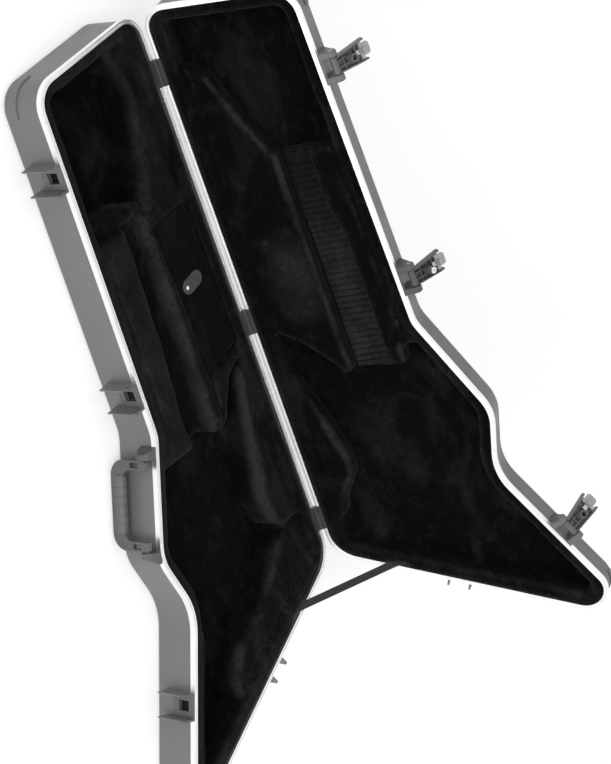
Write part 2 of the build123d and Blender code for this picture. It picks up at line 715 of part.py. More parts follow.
def neck_bar_inner():
    """The bar between neck and accessory compartment, with that compartment's end and the ledge beyond it."""
    low = SHELL - BASE_DEPTH + FLOOR_PAD
    bar = prism(NECK_BAR_INNER, low, -NECK_TOP)
    top = bar.edges().group_by(Axis.Z)[-1]
    front = [edge for edge in top if edge.center().X < -128 and edge.length > 60]
    bar = fillet(front, NECK_ROUND)
    wall = prism(COMPARTMENT_END, low, -FOAM_TOP - COMPARTMENT_BOARD - 0.3)
    ledge = prism(HEAD_LEDGE, low, -FOAM_TOP)
    top = ledge.edges().group_by(Axis.Z)[-1]
    free = [edge for edge in top if edge.center().X < -56 and edge.center().Y > 735]
    ledge = fillet(free, FOAM_ROUND) & slab(BOLSTER_INSET[1] + 0.2, low, -FOAM_TOP)
    return bar + wall + ledge


def base_foam():
    low = SHELL - BASE_DEPTH + FLOOR_PAD
    base_piece("base_floor_pad", floor_pad(BASE_DEPTH))
    whole = bolsters(BASE_DEPTH) - strap_notch()
    for wall, span in BOLSTER_WALLS.items():
        base_piece(f"base_bolster_{wall}", whole & sector(*span))
    base_piece("neck_bar_inner", neck_bar_inner())
    base_piece("neck_bar_outer", foam(NECK_BAR_OUTER, BASE_DEPTH, NECK_TOP))
    floor = prism(NECK_FLOOR, low, -CHANNEL_DEPTH) + foam(NECK_SHELF, BASE_DEPTH, SHELF_DEPTH)
    base_piece("neck_floor", floor)
    base_piece("heel_pad", foam(HEEL_PAD, BASE_DEPTH, FOAM_TOP, 4))
    base_piece("waist_ridge", foam(WAIST_RIDGE, BASE_DEPTH, FOAM_TOP))
    base_piece("butt_filler", foam(BUTT_FILLER, BASE_DEPTH, FOAM_TOP + 4))
    base_piece("wing_pad", foam(WING_PAD, BASE_DEPTH, FOAM_TOP))
    board_top = -FOAM_TOP + 0.3
    board = prism(COMPARTMENT_LID, board_top - COMPARTMENT_BOARD, board_top)
    base_piece("compartment_lid", fillet(board.edges().group_by(Axis.Z)[-1], 1.2))
    base_piece("pull_tab", Pos(*TAB_MIDDLE, board_top) * Rot(0, 0, TAB_TURN) * pull_tab())


def pull_tab():
    """A flat tongue with round ends, held by a domed rivet near one end."""
    length, width, thick = TAB_SIZE
    tongue = extrude(SlotOverall(length, width), thick)
    tongue = fillet(tongue.edges().group_by(Axis.Z)[-1], 0.9)
    dome = extrude(Circle(4), thick + 1.4)
    dome = fillet(dome.edges().group_by(Axis.Z)[-1], 1.2)
    return tongue + Pos(width / 2 - length / 2 - 3, 0, 0) * dome


def lid_foam():
    lid_piece("lid_floor_pad", over_rim(floor_pad(LID_DEPTH)))
    whole = bolsters(LID_DEPTH) - strap_notch()
    strips = [over_rim(whole & sector(*span)) for span in BOLSTER_WALLS.values()]
    lid_piece("lid_bolsters", Compound(children=strips))
    pads = {"neck": LID_NECK_PAD, "front": LID_FRONT_PAD, "waist": LID_WAIST_PAD}
    for name, points in pads.items():
        lid_piece(f"lid_{name}_pad", over_rim(foam(points, LID_DEPTH, FOAM_TOP - 2)))
    low = SHELL - LID_DEPTH + FLOOR_PAD
    lid_piece("lid_neck_strip", over_rim(prism(LID_NECK_STRIP, low, -LID_STRIP_DEPTH)))


def base_case():
    body = shell(BASE_DEPTH) + bumpers(BASE_DEPTH)
    for wall, distance in LATCH_STATIONS:
        place = station(wall, distance).location
        fins = guard(GUARD_PROUD, GUARD_INNER, GUARD_THICK, GUARD_FOOT, -GUARD_DROP, -RAIL_HEIGHT - 0.2)
        body += place * fins
        body -= place * KEEPER_HOLE
    body += feet(FOOT_PROUD, GUARD_DROP)
    for rivet in [*all_rivets(), strap_rivet()]:
        body -= rivet
    base_piece("base_shell", body)
    inner, outer, height = TONGUE
    groove = ring(inner - GROOVE_PLAY, outer + GROOVE_PLAY, -RIM_GAP - height - GROOVE_PLAY, 0)
    base_piece("base_rail", rail() - groove)


def lid_case():
    body = shell(LID_DEPTH) + bumpers(LID_DEPTH)
    body += feet(LID_FOOT_PROUD, LID_DEPTH - SHELL_EDGE)
    for rivet in [*all_rivets(), strap_rivet()]:
        body -= rivet
    lid_piece("lid_shell", over_rim(body))
    inner, outer, height = TONGUE
    tongue = ring(inner, outer, -RIM_GAP, height - RIM_GAP)
    for middle in HINGE_STATIONS:
        tongue -= hinge_slot(middle)
    lid_piece("lid_rail", over_rim(rail() + tongue))


base_case()
lid_case()
hinges()
latches()
handle()
base_foam()
lid_foam()
base_piece("strap_rivet_base", strap_rivet())
lid_piece("strap_rivet_lid", over_rim(strap_rivet()))
base_piece("stay_strap", stay_strap())
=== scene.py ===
# %% [markdown]
# # A hard case for an electric guitar, standing open
# The case lies on its base shell. The lid stands open, held by a webbing strap. The engineering model
# already holds every rigid piece at its real size: two shells, two metal rails, hinges, latches and a
# handle. This lesson loads that model and leaves its pieces where they are. It gives each one a finish
# that reads like the real material, and it makes the soft pieces, which the model has only as plain
# blocks: the padded lining, the covered flap of the small compartment and the strap.

# %% Load the model
import bpy
from math import cos, pi, radians, sin
from mathutils import Matrix, Vector, noise


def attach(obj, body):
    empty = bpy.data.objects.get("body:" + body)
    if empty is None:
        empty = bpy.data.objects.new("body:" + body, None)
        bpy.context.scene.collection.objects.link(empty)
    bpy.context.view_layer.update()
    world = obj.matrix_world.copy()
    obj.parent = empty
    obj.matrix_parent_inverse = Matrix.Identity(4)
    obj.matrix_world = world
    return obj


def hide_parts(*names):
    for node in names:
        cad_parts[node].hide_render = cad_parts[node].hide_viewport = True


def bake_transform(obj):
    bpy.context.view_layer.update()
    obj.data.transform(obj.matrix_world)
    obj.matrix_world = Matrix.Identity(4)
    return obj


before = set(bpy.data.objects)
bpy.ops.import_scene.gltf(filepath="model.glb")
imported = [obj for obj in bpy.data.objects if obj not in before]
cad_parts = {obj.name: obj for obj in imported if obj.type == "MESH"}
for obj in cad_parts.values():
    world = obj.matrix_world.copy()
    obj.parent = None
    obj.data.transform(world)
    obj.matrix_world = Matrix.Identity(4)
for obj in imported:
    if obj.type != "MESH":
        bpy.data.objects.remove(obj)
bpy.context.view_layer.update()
print("nodes loaded:", len(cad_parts))

# %% [markdown]
# ## The camera
# The photograph looks down on the case from the handle side, rolled so that the base runs down the left
# of the picture. The three directions below are the camera's own right, up and back, found by fitting
# the rims of the base and the lid. A long lens keeps the far end almost as large as the near end.

# %% Camera
CAMERA_AT = Vector((-2.1440, 1.4346, 2.3988))
CAMERA_RIGHT = Vector((0.5576, -0.2991, 0.7743))
CAMERA_UP = Vector((0.5169, 0.8551, -0.0419))
CAMERA_BACK = Vector((-0.6496, 0.4236, 0.6314))
FOCAL_PIXELS = 2102.13
PICTURE_HEIGHT = 764
SENSOR = 36.0

camera_data = bpy.data.cameras.new("camera")
camera = bpy.data.objects.new("camera", camera_data)
bpy.context.scene.collection.objects.link(camera)
turn = Matrix((CAMERA_RIGHT, CAMERA_UP, CAMERA_BACK)).transposed()
camera.matrix_world = Matrix.Translation(CAMERA_AT) @ turn.to_4x4()
camera_data.sensor_width = SENSOR
camera_data.lens = FOCAL_PIXELS * SENSOR / PICTURE_HEIGHT
camera_data.clip_end = 50
bpy.context.scene.camera = camera
print("lens in mm:", round(camera_data.lens, 2))

# %% [markdown]
# ## Floor, light and background
# The photograph is taken on white. A pale floor under the case keeps its shadow, and a little light of
# its own, seen only by the camera and in mirrors, lifts it to white without lighting the case. The sky
# is a plain soft grey for lighting and white where the camera sees it. Two large lamps give the walls
# their gentle shading: one above the head end, one from the handle side.


# %% Floor
def seen_directly(nodes, links):
    """1 where the camera looks at a surface, straight, in a mirror or through a clear piece."""
    path = nodes.new("ShaderNodeLightPath")
    total = path.outputs["Is Camera Ray"]
    for ray in ("Is Glossy Ray", "Is Transmission Ray"):
        add = nodes.new("ShaderNodeMath")
        add.operation = "ADD"
        add.use_clamp = True
        links.new(total, add.inputs[0])
        links.new(path.outputs[ray], add.inputs[1])
        total = add.outputs[0]
    return total


WHITE = (1, 1, 1, 1)
PAPER_TONE = (0.8, 0.8, 0.8, 1)
PAPER_LIFT = 0.5

bpy.ops.mesh.primitive_plane_add(size=14, location=(0.6, 0, 0))
floor = bpy.context.active_object
floor.name = "floor"
floor_material = bpy.data.materials.new("floor_paper")
floor_material.use_nodes = True
nodes, links = floor_material.node_tree.nodes, floor_material.node_tree.links
paper = nodes["Principled BSDF"]
paper.inputs["Base Color"].default_value = PAPER_TONE
paper.inputs["Roughness"].default_value = 0.9
paper.inputs["Emission Color"].default_value = WHITE
lift = nodes.new("ShaderNodeMath")
lift.operation = "MULTIPLY"
lift.inputs[1].default_value = PAPER_LIFT
links.new(seen_directly(nodes, links), lift.inputs[0])
links.new(lift.outputs[0], paper.inputs["Emission Strength"])
floor.data.materials.append(floor_material)
print("floor ready")

# %% World
SKY_AS_LIGHT = 0.55
SKY_AS_SEEN = 1.0

world = bpy.data.worlds.new("studio")
bpy.context.scene.world = world
world.use_nodes = True
nodes, links = world.node_tree.nodes, world.node_tree.links
sky = nodes["Background"]
sky.inputs["Color"].default_value = WHITE
level = nodes.new("ShaderNodeMapRange")
level.inputs["To Min"].default_value = SKY_AS_LIGHT
level.inputs["To Max"].default_value = SKY_AS_SEEN
links.new(seen_directly(nodes, links), level.inputs["Value"])
links.new(level.outputs["Result"], sky.inputs["Strength"])
bpy.context.scene.view_settings.view_transform = "Standard"
print("sky ready")


# %% Lamps
def lamp(name, at, towards, size, power):
    """A large square lamp, aimed at a point of the case."""
    data = bpy.data.lights.new(name, "AREA")
    data.size = size
    data.energy = power
    light = bpy.data.objects.new(name, data)
    light.location = at
    light.rotation_euler = (Vector(towards) - Vector(at)).to_track_quat("-Z", "Y").to_euler()
    bpy.context.scene.collection.objects.link(light)
    print(name, "size in m:", size, "power in W:", power)


lamp("lamp_above", at=(-0.6, 1.2, 3.4), towards=(0, 0, 0), size=2.4, power=12)
lamp("lamp_handle_side", at=(-3.2, 0.2, 1.6), towards=(0, 0, 0.1), size=2.0, power=40)

# %% [markdown]
# ## Effects that several finishes share
# Moulded plastic, drawn metal and plush all vary in the same few ways, so each effect is built once as
# a node group and then placed in every material that needs it, with that material's own values. A group
# gives out colours, roughness and heights only. The shader itself stays in the material.


# %% Node group helpers
def new_group(name, inputs, outputs):
    """A shader group with named sockets: inputs as (name, kind, value), outputs as (name, kind)."""
    group = bpy.data.node_groups.new(name, "ShaderNodeTree")
    for socket_name, kind, value in inputs:
        socket = group.interface.new_socket(socket_name, in_out="INPUT", socket_type="NodeSocket" + kind)
        socket.default_value = value
    for socket_name, kind in outputs:
        group.interface.new_socket(socket_name, in_out="OUTPUT", socket_type="NodeSocket" + kind)
    given = group.nodes.new("NodeGroupInput")
    result = group.nodes.new("NodeGroupOutput")
    return group, given, result


def feed(tree, socket, value):
    """Sets a socket to a number or a colour, or links another node's output to it."""
    if isinstance(value, (int, float, tuple)):
        socket.default_value = value
    else:
        tree.links.new(value, socket)


def add_noise(tree, coordinates, scale, detail=3.0, roughness=0.5, distortion=0.0):
    """A noise texture, mostly between 0.3 and 0.7."""
    texture = tree.nodes.new("ShaderNodeTexNoise")
    texture.inputs["Detail"].default_value = detail
    texture.inputs["Roughness"].default_value = roughness
    texture.inputs["Distortion"].default_value = distortion
    tree.links.new(coordinates, texture.inputs["Vector"])
    feed(tree, texture.inputs["Scale"], scale)
    return texture.outputs["Fac"]


def add_range(tree, value, source, target):
    """Stretches a value from one range to another and holds it between the ends."""
    node = tree.nodes.new("ShaderNodeMapRange")
    tree.links.new(value, node.inputs["Value"])
    for name, end in zip(("From Min", "From Max", "To Min", "To Max"), (*source, *target)):
        feed(tree, node.inputs[name], end)
    return node.outputs["Result"]


def add_math(tree, operation, first, second):
    """One sum or product of two values."""
    node = tree.nodes.new("ShaderNodeMath")
    node.operation = operation
    feed(tree, node.inputs[0], first)
    feed(tree, node.inputs[1], second)
    return node.outputs[0]


def add_mix(tree, factor, first, second):
    """A colour between two colours."""
    node = tree.nodes.new("ShaderNodeMix")
    node.data_type = "RGBA"
    for name, value in (("Factor_Float", factor), ("A_Color", first), ("B_Color", second)):
        feed(tree, next(socket for socket in node.inputs if socket.identifier == name), value)
    return next(socket for socket in node.outputs if socket.identifier == "Result_Color")


def object_position(tree):
    """The place on the piece, in the model's own metres."""
    return tree.nodes.new("ShaderNodeTexCoord").outputs["Object"]


def stretched(tree, place, scale, rotation=(0, 0, 0)):
    """The place after a turn and a different scale along each direction, which draws a noise out."""
    mapping = tree.nodes.new("ShaderNodeMapping")
    mapping.inputs["Scale"].default_value = scale
    mapping.inputs["Rotation"].default_value = rotation
    tree.links.new(place, mapping.inputs["Vector"])
    return mapping.outputs["Vector"]


# %% [markdown]
# ### Moulded grain
# Injection-moulded plastic is never one flat colour. It has a slow cloudy drift in tone, a fine pebble
# grain from the mould, and it is a little smoother where hands rub it. Three noises of different size
# do that without any picture, and one group gives all three.

# %% Group for moulded grain
WHOLE = (0.0, 1.0)
NARROW_BAND = (0.35, 0.65)  # taken from a noise, this gives clear light and dark areas
WIDE_BAND = (0.3, 0.7)  # and this gives soft ones
RUBBED_SCALE = 23.0

grain_group, given, result = new_group(
    "moulded_grain",
    (("Color", "Color", (0.2, 0.2, 0.2, 1)), ("Cloud Color", "Color", (0.25, 0.24, 0.23, 1)),
     ("Cloud Scale", "Float", 4.0), ("Grain Scale", "Float", 900.0), ("Smooth", "Float", 0.35),
     ("Rough", "Float", 0.55)),
    (("Color", "Color"), ("Roughness", "Float"), ("Height", "Float")),
)
place = object_position(grain_group)
cloud = add_noise(grain_group, place, given.outputs["Cloud Scale"], detail=4)
cloud = add_range(grain_group, cloud, NARROW_BAND, WHOLE)
grain = add_noise(grain_group, place, given.outputs["Grain Scale"], detail=2, roughness=0.6)
rubbed = add_noise(grain_group, place, RUBBED_SCALE, detail=5, roughness=0.65)
tone = add_mix(grain_group, cloud, given.outputs["Color"], given.outputs["Cloud Color"])
shine = add_range(grain_group, rubbed, NARROW_BAND, (given.outputs["Smooth"], given.outputs["Rough"]))
grain_group.links.new(tone, result.inputs["Color"])
grain_group.links.new(shine, result.inputs["Roughness"])
grain_group.links.new(grain, result.inputs["Height"])
print(grain_group.name, "nodes:", len(grain_group.nodes))

# %% [markdown]
# ### Brushed pile
# The lining is short black plush. Wherever something has pressed or stroked it the pile lies another way
# and catches the light, which gives cloudy streaks and smaller dabs a little paler than the rest. The
# group mixes two noises, both drawn out along the case, and adds the fine unevenness of the pile itself.
# The group also takes a crest value that each soft piece carries, and makes the pile paler where it is
# high: a painted highlight over edges, painted light on slopes that face the lamps, and real brushing.

# %% Group for plush
PILE_STRETCH = (1.6, 0.7, 1.2)
PILE_TURN = (0.2, 0.1, 0.5)
STREAK_BAND, STREAK_TONE = (0.49, 0.76), (0.0, 0.55)
DAB_SCALE, DAB_BAND, DAB_TONE = 42.0, (0.53, 0.72), (0.0, 0.28)
TUFT_SCALE = 130.0
STROKED_TUFTS = (0.5, 1.0)
CREST_TUFTS = (0.5, 1.3)
PILE_ROUGHNESS = (0.95, 0.75)

pile_group, given, result = new_group(
    "brushed_pile",
    (("Dark", "Color", (0.008, 0.008, 0.009, 1)), ("Stroked And Lit", "Color", (0.03, 0.032, 0.034, 1)),
     ("Streak Scale", "Float", 9.0), ("Pile Scale", "Float", 650.0), ("Crest", "Float", 0.0)),
    (("Color", "Color"), ("Roughness", "Float"), ("Height", "Float")),
)
place = object_position(pile_group)
lengthwise = stretched(pile_group, place, PILE_STRETCH, PILE_TURN)
streaks = add_noise(pile_group, lengthwise, given.outputs["Streak Scale"], detail=6, roughness=0.66,
                    distortion=0.9)
streaks = add_range(pile_group, streaks, STREAK_BAND, STREAK_TONE)
dabs = add_noise(pile_group, lengthwise, DAB_SCALE, detail=4, roughness=0.6, distortion=0.8)
streaks = add_math(pile_group, "ADD", streaks, add_range(pile_group, dabs, DAB_BAND, DAB_TONE))
pile = add_noise(pile_group, place, given.outputs["Pile Scale"], detail=2, roughness=0.7)
tufts = add_noise(pile_group, place, TUFT_SCALE, detail=3, roughness=0.7)
stroked_and_lit = add_range(pile_group, tufts, WIDE_BAND, STROKED_TUFTS)
stroked_and_lit = add_math(pile_group, "MULTIPLY", streaks, stroked_and_lit)
# painted highlight and painted light, with some real brushing: paler where the crest value is high
crest_paleness = add_range(pile_group, tufts, WIDE_BAND, CREST_TUFTS)
crest_paleness = add_math(pile_group, "MULTIPLY", given.outputs["Crest"], crest_paleness)
stroked_and_lit = add_math(pile_group, "ADD", stroked_and_lit, crest_paleness)
tone = add_mix(pile_group, stroked_and_lit, given.outputs["Dark"], given.outputs["Stroked And Lit"])
pile_group.links.new(tone, result.inputs["Color"])
pile_group.links.new(add_range(pile_group, streaks, WHOLE, PILE_ROUGHNESS), result.inputs["Roughness"])
pile_group.links.new(add_math(pile_group, "ADD", pile, tufts), result.inputs["Height"])
print(pile_group.name, "nodes:", len(pile_group.nodes))

# %% [markdown]
# ### Drawn metal
# Rails are extruded and then brushed, so fine lines run along them. A noise that is stretched very far
# along one direction gives such lines. It changes the shine more than the colour.

# %% Group for drawn metal
LINE_STRETCH = (1.0, 0.02, 1.0)
SMUDGE_SCALE, SMUDGE_SHARE = 18.0, (0.82, 1.0)
SMUDGE_TONE = (0.5, 0.5, 0.5, 1)

drawn_group, given, result = new_group(
    "drawn_metal",
    (("Color", "Color", (0.8, 0.8, 0.8, 1)), ("Line Scale", "Float", 300.0), ("Smooth", "Float", 0.25),
     ("Rough", "Float", 0.45)),
    (("Color", "Color"), ("Roughness", "Float"), ("Height", "Float")),
)
place = object_position(drawn_group)
lines = add_noise(drawn_group, stretched(drawn_group, place, LINE_STRETCH), given.outputs["Line Scale"])
smudge = add_noise(drawn_group, place, SMUDGE_SCALE, detail=4, roughness=0.6)
blotch = add_range(drawn_group, smudge, WIDE_BAND, SMUDGE_SHARE)
tone = add_mix(drawn_group, blotch, SMUDGE_TONE, given.outputs["Color"])
shine = add_range(drawn_group, lines, WIDE_BAND, (given.outputs["Smooth"], given.outputs["Rough"]))
drawn_group.links.new(tone, result.inputs["Color"])
drawn_group.links.new(shine, result.inputs["Roughness"])
drawn_group.links.new(lines, result.inputs["Height"])
print(drawn_group.name, "nodes:", len(drawn_group.nodes))

# %% [markdown]
# ## Finishes of the rigid pieces
# Every finish is a Principled shader fed by one of the groups. The bump is kept shallow: the grain of
# moulded plastic is only about a tenth of a millimetre deep. Values that are the same all over, such
# as metallic or sheen, are set on the shader's own sockets.


# %% Finish helper
def finish(name, group, bump_depth, group_values, shader_values):
    """A material whose colour, roughness and bump come from a node group."""
    material = bpy.data.materials.new(name)
    material.use_nodes = True
    tree = material.node_tree
    shader = tree.nodes["Principled BSDF"]
    effect = tree.nodes.new("ShaderNodeGroup")
    effect.node_tree = group
    for socket, value in group_values.items():
        effect.inputs[socket].default_value = value
    for socket, value in shader_values.items():
        shader.inputs[socket].default_value = value
    bump = tree.nodes.new("ShaderNodeBump")
    bump.inputs["Distance"].default_value = bump_depth
    tree.links.new(effect.outputs["Color"], shader.inputs["Base Color"])
    tree.links.new(effect.outputs["Roughness"], shader.inputs["Roughness"])
    tree.links.new(effect.outputs["Height"], bump.inputs["Height"])
    tree.links.new(bump.outputs["Normal"], shader.inputs["Normal"])
    return material


def grey(value, warmth=0.0):
    """A grey, warmer by a small share."""
    return (value * (1 + warmth), value, value * (1 - warmth), 1)


# %% [markdown]
# ### Plastics and paint
# The shells, latches and handle are moulded from greys that differ a little. The lid's walls are the
# base's plastic made a shade darker, which is painted shade, and the levers are darker than their
# brackets, which is painted shade in their recesses. The middle latch is darker than the other two. The
# hinge leaves are painted metal. Paint has no mould grain, but a very shallow one stands for its slight
# ripple, so the same group serves for it too.


# %% Plastics
def moulded(name, tone, cloud, cloud_scale, shine, grain_scale=900.0, bump_depth=0.0001, specular=0.5):
    """Moulded plastic or paint: two tones, and a shine that runs from smooth to rough."""
    return finish(
        name, grain_group, bump_depth,
        {"Color": tone, "Cloud Color": cloud, "Cloud Scale": cloud_scale, "Grain Scale": grain_scale,
         "Smooth": shine[0], "Rough": shine[1]},
        {"Specular IOR Level": specular},
    )


SHELL_MOULD = {"cloud_scale": 2.2, "grain_scale": 1100.0, "bump_depth": 0.00012}
LATCH_MOULD = {"cloud_scale": 30.0}

shell_plastic = moulded("shell_plastic", grey(0.19), grey(0.215, 0.02), shine=(0.34, 0.46), **SHELL_MOULD)
# painted shade: the shells' plastic made a shade darker for the lid
lid_plastic_painted_shade = moulded("lid_plastic_painted_shade", grey(0.15), grey(0.17, 0.02), shine=(0.36, 0.48), **SHELL_MOULD)
latch_plastic = moulded("latch_plastic", grey(0.155), grey(0.19, 0.03), shine=(0.32, 0.5), **LATCH_MOULD)
# painted shade: the levers are darker than their brackets to stand for the shade in their recesses
lever_plastic_painted_shade = moulded("lever_plastic_painted_shade", grey(0.12), grey(0.15, 0.03), shine=(0.3, 0.45), **LATCH_MOULD)
dark_latch_plastic = moulded(
    "dark_latch_plastic", grey(0.08), grey(0.11, 0.03), shine=(0.32, 0.5), **LATCH_MOULD)
catch_plastic = moulded("catch_plastic", grey(0.13), grey(0.16, 0.03), shine=(0.35, 0.5), **LATCH_MOULD)
paddle_plastic = moulded(
    "paddle_plastic", grey(0.42, 0.03), grey(0.48, 0.04), 40.0, (0.25, 0.4), bump_depth=0.00006)
handle_plastic = moulded("handle_plastic", grey(0.105), grey(0.13, 0.02), 20.0, (0.33, 0.5))
grip_rubber = moulded(
    "grip_rubber", grey(0.13, 0.02), grey(0.16, 0.03), 25.0, (0.4, 0.55), grain_scale=700.0,
    bump_depth=0.0002)
tab_plastic = moulded(
    "tab_plastic", grey(0.08), grey(0.1, 0.02), 50.0, (0.22, 0.35), bump_depth=0.00003)
hinge_paint = moulded(
    "hinge_paint", grey(0.055), grey(0.068, 0.02), 25.0, (0.5, 0.65), bump_depth=0.00006, specular=0.3)
print("plastics and paint ready")

# %% [markdown]
# ### Bare metal
# The rails are brushed aluminium, the pins, rivets and springs are plain steel, and the key lock is
# chromed. All are one drawn metal with its own tone and shine. The smoother a metal is, the finer its
# lines are and the shallower they lie.


# %% Metals
def drawn(name, tone, line_scale, shine, bump_depth=0.00003):
    """Bare metal with fine lines."""
    return finish(
        name, drawn_group, bump_depth,
        {"Color": tone, "Line Scale": line_scale, "Smooth": shine[0], "Rough": shine[1]},
        {"Metallic": 1.0},
    )


rail_metal = drawn("rail_metal", grey(0.95), 260.0, (0.28, 0.42))
pin_steel = drawn("pin_steel", grey(0.55), 400.0, (0.25, 0.4))
lock_chrome = drawn("lock_chrome", grey(0.85), 500.0, (0.08, 0.18), bump_depth=0.00001)
print("metals ready")


# %% Finishes on their nodes
def dress(material, *names):
    """Gives CAD nodes a finish."""
    for name in names:
        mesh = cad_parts[name].data
        mesh.materials.clear()
        mesh.materials.append(material)


dress(shell_plastic, "base_shell")
dress(lid_plastic_painted_shade, "lid_shell")
dress(rail_metal, "base_rail", "lid_rail")
dress(pin_steel, "base_hinge_rivets", "lid_hinge_rivets", "hinge_pins", "latch_pins", "handle_pins")
dress(pin_steel, "strap_rivet_base", "strap_rivet_lid")
dress(lock_chrome, "lock_cylinder")
dress(handle_plastic, "handle_frame", "handle_bracket_head", "handle_bracket_butt")
dress(grip_rubber, "handle_grip")
dress(tab_plastic, "pull_tab")
dress(catch_plastic, "catch_1", "catch_2", "catch_3")
for number, bracket, lever in (
    (1, latch_plastic, lever_plastic_painted_shade),
    (2, dark_latch_plastic, dark_latch_plastic),
    (3, latch_plastic, lever_plastic_painted_shade),
):
    dress(hinge_paint, f"hinge_{number}_base_leaf", f"hinge_{number}_lid_leaf")
    dress(bracket, f"latch_{number}_bracket")
    dress(lever, f"latch_{number}_lever")
    dress(paddle_plastic, f"latch_{number}_trigger")
    dress(pin_steel, f"latch_{number}_spring")
print("finishes so far:", len(bpy.data.materials))

# %% [markdown]
# ## The padded lining
# Under the plush there is firm foam, cut to shape and glued in. The plush is stretched over each block,
# so edges are round, faces swell a little between them, and nothing is perfectly flat. Each block starts
# as a copy of its plain solid. The copy is rebuilt as an even net of small faces, blown up very gently as
# cloth, held back so that it stays in its space, and then given slow, shallow unevenness.

# %% Lining helpers
MERGE_WITHIN = 0.00005
SWELL_PRESSURE = 4.0
SWELL_STEPS = 20


def select_only(piece):
    """Deselects everything else, because an operator acts on all that is selected."""
    bpy.ops.object.select_all(action="DESELECT")
    piece.select_set(True)
    bpy.context.view_layer.objects.active = piece


def copy_of(name, *node_names):
    """A new piece that starts as merged copies of these nodes."""
    bpy.ops.object.select_all(action="DESELECT")
    copies = []
    for node_name in node_names:
        copy = bpy.data.objects.new(name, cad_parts[node_name].data.copy())
        bpy.context.scene.collection.objects.link(copy)
        copy.select_set(True)
        copies.append(copy)
    piece = copies[0]
    bpy.context.view_layer.objects.active = piece
    if len(copies) > 1:
        bpy.ops.object.join()
    piece.name = name
    piece.data.name = name
    piece.data.materials.clear()
    bpy.ops.object.mode_set(mode="EDIT")
    bpy.ops.mesh.select_all(action="SELECT")
    bpy.ops.mesh.remove_doubles(threshold=MERGE_WITHIN)
    bpy.ops.object.mode_set(mode="OBJECT")
    return piece


def rebuild(piece, size):
    """Replaces the faces by an even net with round edges."""
    select_only(piece)
    net = piece.modifiers.new("net", "REMESH")
    net.mode = "VOXEL"
    net.voxel_size = size
    bpy.ops.object.modifier_apply(modifier="net")


def relax(piece, rounds):
    """Evens the net out, which rounds the edges further."""
    select_only(piece)
    smooth = piece.modifiers.new("relax", "SMOOTH")
    smooth.factor = 0.5
    smooth.iterations = rounds
    bpy.ops.object.modifier_apply(modifier="relax")


def swell(piece, limit):
    """Blows the piece up as cloth, no point further than the limit."""
    start = [vertex.co.copy() for vertex in piece.data.vertices]
    select_only(piece)
    cloth = piece.modifiers.new("swell", "CLOTH")
    cloth.settings.use_pressure = True
    cloth.settings.uniform_pressure_force = SWELL_PRESSURE
    cloth.settings.effector_weights.gravity = 0
    cloth.point_cache.frame_start = 1
    cloth.point_cache.frame_end = SWELL_STEPS
    for step in range(1, SWELL_STEPS + 1):
        bpy.context.scene.frame_set(step)
    bpy.ops.object.modifier_apply(modifier="swell")
    bpy.context.scene.frame_set(1)
    for vertex, old in zip(piece.data.vertices, start):
        move = vertex.co - old
        if move.length > limit:
            vertex.co = old + move * (limit / move.length)


def unevenness(piece, size, depth):
    """Slow hills and hollows over the surface."""
    select_only(piece)
    clouds = bpy.data.textures.new(piece.name + "_clouds", "CLOUDS")
    clouds.noise_scale = size
    clouds.noise_depth = 1
    hills = piece.modifiers.new("hills", "DISPLACE")
    hills.texture = clouds
    hills.texture_coords = "LOCAL"
    hills.strength = depth
    hills.mid_level = 0.5
    bpy.ops.object.modifier_apply(modifier="hills")


# %% [markdown]
# ### Where the pile is paler
# A shader can't know that a point lies on the crest of a pad, so the mesh tells it. Each point is
# compared with the middle of its neighbours: the further it stands out, the sharper the edge there, and
# the paler the pile is made there, which is a painted highlight. To that comes each lining's own rule of
# place and slope, which gives painted light on slopes that face the lamps and brushing where the
# instrument rubs. The larger of the two is stored on the points as an attribute named crest.

# %% Crest helpers
CREST_REACH = 0.0011  # how far a point of a sharp edge stands out from its neighbours
CREST_START = 0.12  # the share of that which still counts as flat


def ramp(value, low, high):
    """0 below the low value, 1 above the high one, straight between them."""
    return min(1.0, max(0.0, (value - low) / (high - low)))


def fall(value, low, high):
    """1 below the low value, 0 above the high one, straight between them."""
    return 1 - ramp(value, low, high)


def uneven(spot, rate, middle, swing):
    """A strength that wanders around its middle value from place to place."""
    return middle + swing * noise.noise(spot * rate)


def mark_crests(piece, brushing_and_painted_light):
    """Stores on every point how pale the pile is: a painted highlight over sharp edges, and the lining's
    rule of brushing and painted light.
    """
    mesh = piece.data
    sums = [Vector((0, 0, 0)) for _ in mesh.vertices]
    counts = [0] * len(mesh.vertices)
    for edge in mesh.edges:
        a, b = edge.vertices
        sums[a] += mesh.vertices[b].co
        sums[b] += mesh.vertices[a].co
        counts[a] += 1
        counts[b] += 1
    paleness_with_painted_light = []
    for vertex, total, count in zip(mesh.vertices, sums, counts):
        bulge = (vertex.co - total / max(count, 1)).dot(vertex.normal)
        sharp = min(1.0, max(0.0, bulge / CREST_REACH - CREST_START))
        paleness_with_painted_light.append(max(sharp, brushing_and_painted_light(vertex.co, vertex.normal)))
    crest = mesh.attributes.new("crest", "FLOAT", "POINT")
    crest.data.foreach_set("value", paleness_with_painted_light)


# %% Lining pieces
def declare(piece, body, nodes, brushing_and_painted_light):
    select_only(piece)
    bpy.ops.object.shade_smooth()
    mark_crests(piece, brushing_and_painted_light)
    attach(piece, body)
    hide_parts(*nodes)
    print(piece.name, "faces:", len(piece.data.polygons))


BLOCK_NET = 0.005
COVER_NET = 0.0045
COVER_ROUNDS = 3
SWELL_LIMIT = 0.0025


def swollen_block(node):
    """One block of foam, swollen a little under its cover."""
    block = copy_of("block_" + node, node)
    rebuild(block, BLOCK_NET)
    swell(block, SWELL_LIMIT)
    return block


